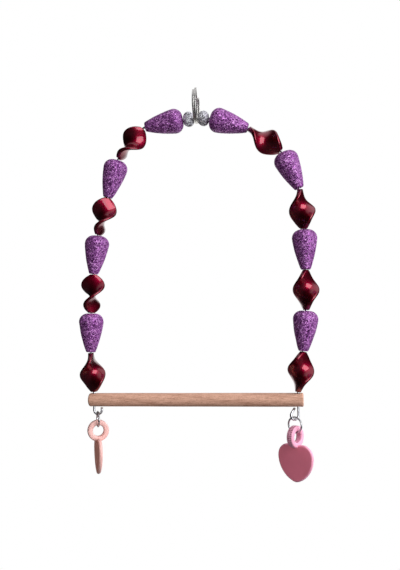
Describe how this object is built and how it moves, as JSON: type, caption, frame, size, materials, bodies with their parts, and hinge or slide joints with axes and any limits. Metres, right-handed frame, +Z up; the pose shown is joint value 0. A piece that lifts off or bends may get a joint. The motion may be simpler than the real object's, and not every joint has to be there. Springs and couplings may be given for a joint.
{
  "type": "bird swing",
  "caption": "Hanging bird swing: a wood perch under a wire arch threaded with glitter and twisted beads, hung from a split ring, with heart charms on jump rings below.",
  "frame": {"origin": "inside the top of the split ring, where the hook that carries the swing bears", "axes": "+Z up, +X along the perch to the right as seen from the front, +Y away from the front"},
  "size_m": [0.1699, 0.026, 0.2751],
  "materials": {
    "beech": "sanded beech dowel",
    "wire_steel": "bright wire",
    "ring_steel": "plated",
    "silver_glitter": "silver glitter coat",
    "purple_glitter": "purple glitter coat",
    "red_pearl": "pearl garnet",
    "pink_plastic": "satin"
  },
  "bodies": {
    "hanger": {"split_ring": "ring_steel"},
    "frame": {"arch_wire": "wire_steel", "perch": "beech"},
    "left_silver_bead": {"left_silver_bead": "silver_glitter"},
    "left_purple_bead_1": {"left_purple_bead_1": "purple_glitter"},
    "left_red_bead_1": {"left_red_bead_1": "red_pearl"},
    "left_purple_bead_2": {"left_purple_bead_2": "purple_glitter"},
    "left_red_bead_2": {"left_red_bead_2": "red_pearl"},
    "left_purple_bead_3": {"left_purple_bead_3": "purple_glitter"},
    "left_red_bead_3": {"left_red_bead_3": "red_pearl"},
    "left_purple_bead_4": {"left_purple_bead_4": "purple_glitter"},
    "left_red_bead_4": {"left_red_bead_4": "red_pearl"},
    "right_silver_bead": {"right_silver_bead": "silver_glitter"},
    "right_purple_bead_1": {"right_purple_bead_1": "purple_glitter"},
    "right_red_bead_1": {"right_red_bead_1": "red_pearl"},
    "right_purple_bead_2": {"right_purple_bead_2": "purple_glitter"},
    "right_red_bead_2": {"right_red_bead_2": "red_pearl"},
    "right_purple_bead_3": {"right_purple_bead_3": "purple_glitter"},
    "right_red_bead_3": {"right_red_bead_3": "red_pearl"},
    "right_purple_bead_4": {"right_purple_bead_4": "purple_glitter"},
    "right_red_bead_4": {"right_red_bead_4": "red_pearl"},
    "left_jump_ring": {"left_jump_ring": "wire_steel"},
    "left_heart_charm": {"left_heart_charm": "pink_plastic"},
    "right_jump_ring": {"right_jump_ring": "wire_steel"},
    "right_heart_charm": {"right_heart_charm": "pink_plastic"}
  },
  "joints": [
    {"name": "swing", "type": "hinge", "parent": "hanger", "child": "frame", "pos_m": [0, 0, -0.0201], "axis": [1, 0, 0], "range_deg": [-60, 60]},
    {"name": "left_silver_bead_spin", "type": "hinge", "parent": "frame", "child": "left_silver_bead", "pos_m": [-0.00532, 0, -0.0201], "axis": [1, 0, 0], "continuous": true},
    {"name": "left_purple_bead_1_spin", "type": "hinge", "parent": "frame", "child": "left_purple_bead_1", "pos_m": [-0.02332, 0, -0.02206], "axis": [0.9903, 0, 0.1392], "continuous": true},
    {"name": "left_red_bead_1_spin", "type": "hinge", "parent": "frame", "child": "left_red_bead_1", "pos_m": [-0.04779, 0, -0.03557], "axis": [0.6508, 0, 0.7593], "continuous": true},
    {"name": "left_purple_bead_2_spin", "type": "hinge", "parent": "frame", "child": "left_purple_bead_2", "pos_m": [-0.06128, 0, -0.06067], "axis": [0.2756, 0, 0.9613], "continuous": true},
    {"name": "left_red_bead_2_spin", "type": "hinge", "parent": "frame", "child": "left_red_bead_2", "pos_m": [-0.06872, 0, -0.0875], "axis": [0.2588, 0, 0.9659], "continuous": true},
    {"name": "left_purple_bead_3_spin", "type": "hinge", "parent": "frame", "child": "left_purple_bead_3", "pos_m": [-0.07413, 0, -0.11509], "axis": [0.1253, 0, 0.9921], "continuous": true},
    {"name": "left_red_bead_3_spin", "type": "hinge", "parent": "frame", "child": "left_red_bead_3", "pos_m": [-0.07673, 0, -0.14291], "axis": [0.061, 0, 0.9981], "continuous": true},
    {"name": "left_purple_bead_4_spin", "type": "hinge", "parent": "frame", "child": "left_purple_bead_4", "pos_m": [-0.07792, 0, -0.17077], "axis": [0.0244, 0, 0.9997], "continuous": true},
    {"name": "left_red_bead_4_spin", "type": "hinge", "parent": "frame", "child": "left_red_bead_4", "pos_m": [-0.07714, 0, -0.19878], "axis": [-0.0802, 0, 0.9968], "continuous": true},
    {"name": "right_silver_bead_spin", "type": "hinge", "parent": "frame", "child": "right_silver_bead", "pos_m": [0.00532, 0, -0.0201], "axis": [-1, 0, 0], "continuous": true},
    {"name": "right_purple_bead_1_spin", "type": "hinge", "parent": "frame", "child": "right_purple_bead_1", "pos_m": [0.02331, 0, -0.02455], "axis": [-0.9511, 0, 0.309], "continuous": true},
    {"name": "right_red_bead_1_spin", "type": "hinge", "parent": "frame", "child": "right_red_bead_1", "pos_m": [0.0483, 0, -0.03775], "axis": [-0.7923, 0, 0.6101], "continuous": true},
    {"name": "right_purple_bead_2_spin", "type": "hinge", "parent": "frame", "child": "right_purple_bead_2", "pos_m": [0.06583, 0, -0.06025], "axis": [-0.4003, 0, 0.9164], "continuous": true},
    {"name": "right_red_bead_2_spin", "type": "hinge", "parent": "frame", "child": "right_red_bead_2", "pos_m": [0.07272, 0, -0.08765], "axis": [-0.0819, 0, 0.9966], "continuous": true},
    {"name": "right_purple_bead_3_spin", "type": "hinge", "parent": "frame", "child": "right_purple_bead_3", "pos_m": [0.07409, 0, -0.11558], "axis": [-0.0157, 0, 0.9999], "continuous": true},
    {"name": "right_red_bead_3_spin", "type": "hinge", "parent": "frame", "child": "right_red_bead_3", "pos_m": [0.07414, 0, -0.14344], "axis": [0.0122, 0, 0.9999], "continuous": true},
    {"name": "right_purple_bead_4_spin", "type": "hinge", "parent": "frame", "child": "right_purple_bead_4", "pos_m": [0.07262, 0, -0.1714], "axis": [0.0958, 0, 0.9954], "continuous": true},
    {"name": "right_red_bead_4_spin", "type": "hinge", "parent": "frame", "child": "right_red_bead_4", "pos_m": [0.0692, 0, -0.19911], "axis": [0.1495, 0, 0.9888], "continuous": true},
    {"name": "left_jump_ring_swing", "type": "hinge", "parent": "frame", "child": "left_jump_ring", "pos_m": [-0.07327, 0, -0.22825], "axis": [1, 0, 0], "range_deg": [-40, 40]},
    {"name": "left_heart_charm_swing", "type": "hinge", "parent": "left_jump_ring", "child": "left_heart_charm", "pos_m": [-0.07327, 0, -0.23695], "axis": [0.4067, -0.9135, 0], "range_deg": [-60, 60]},
    {"name": "right_jump_ring_swing", "type": "hinge", "parent": "frame", "child": "right_jump_ring", "pos_m": [0.06454, -0.00159, -0.2313], "axis": [0.848, 0.5299, 0], "range_deg": [-40, 40]},
    {"name": "right_heart_charm_swing", "type": "hinge", "parent": "right_jump_ring", "child": "right_heart_charm", "pos_m": [0.06454, -0.00159, -0.24], "axis": [0.8192, -0.5736, 0], "range_deg": [-60, 60]}
  ]
}
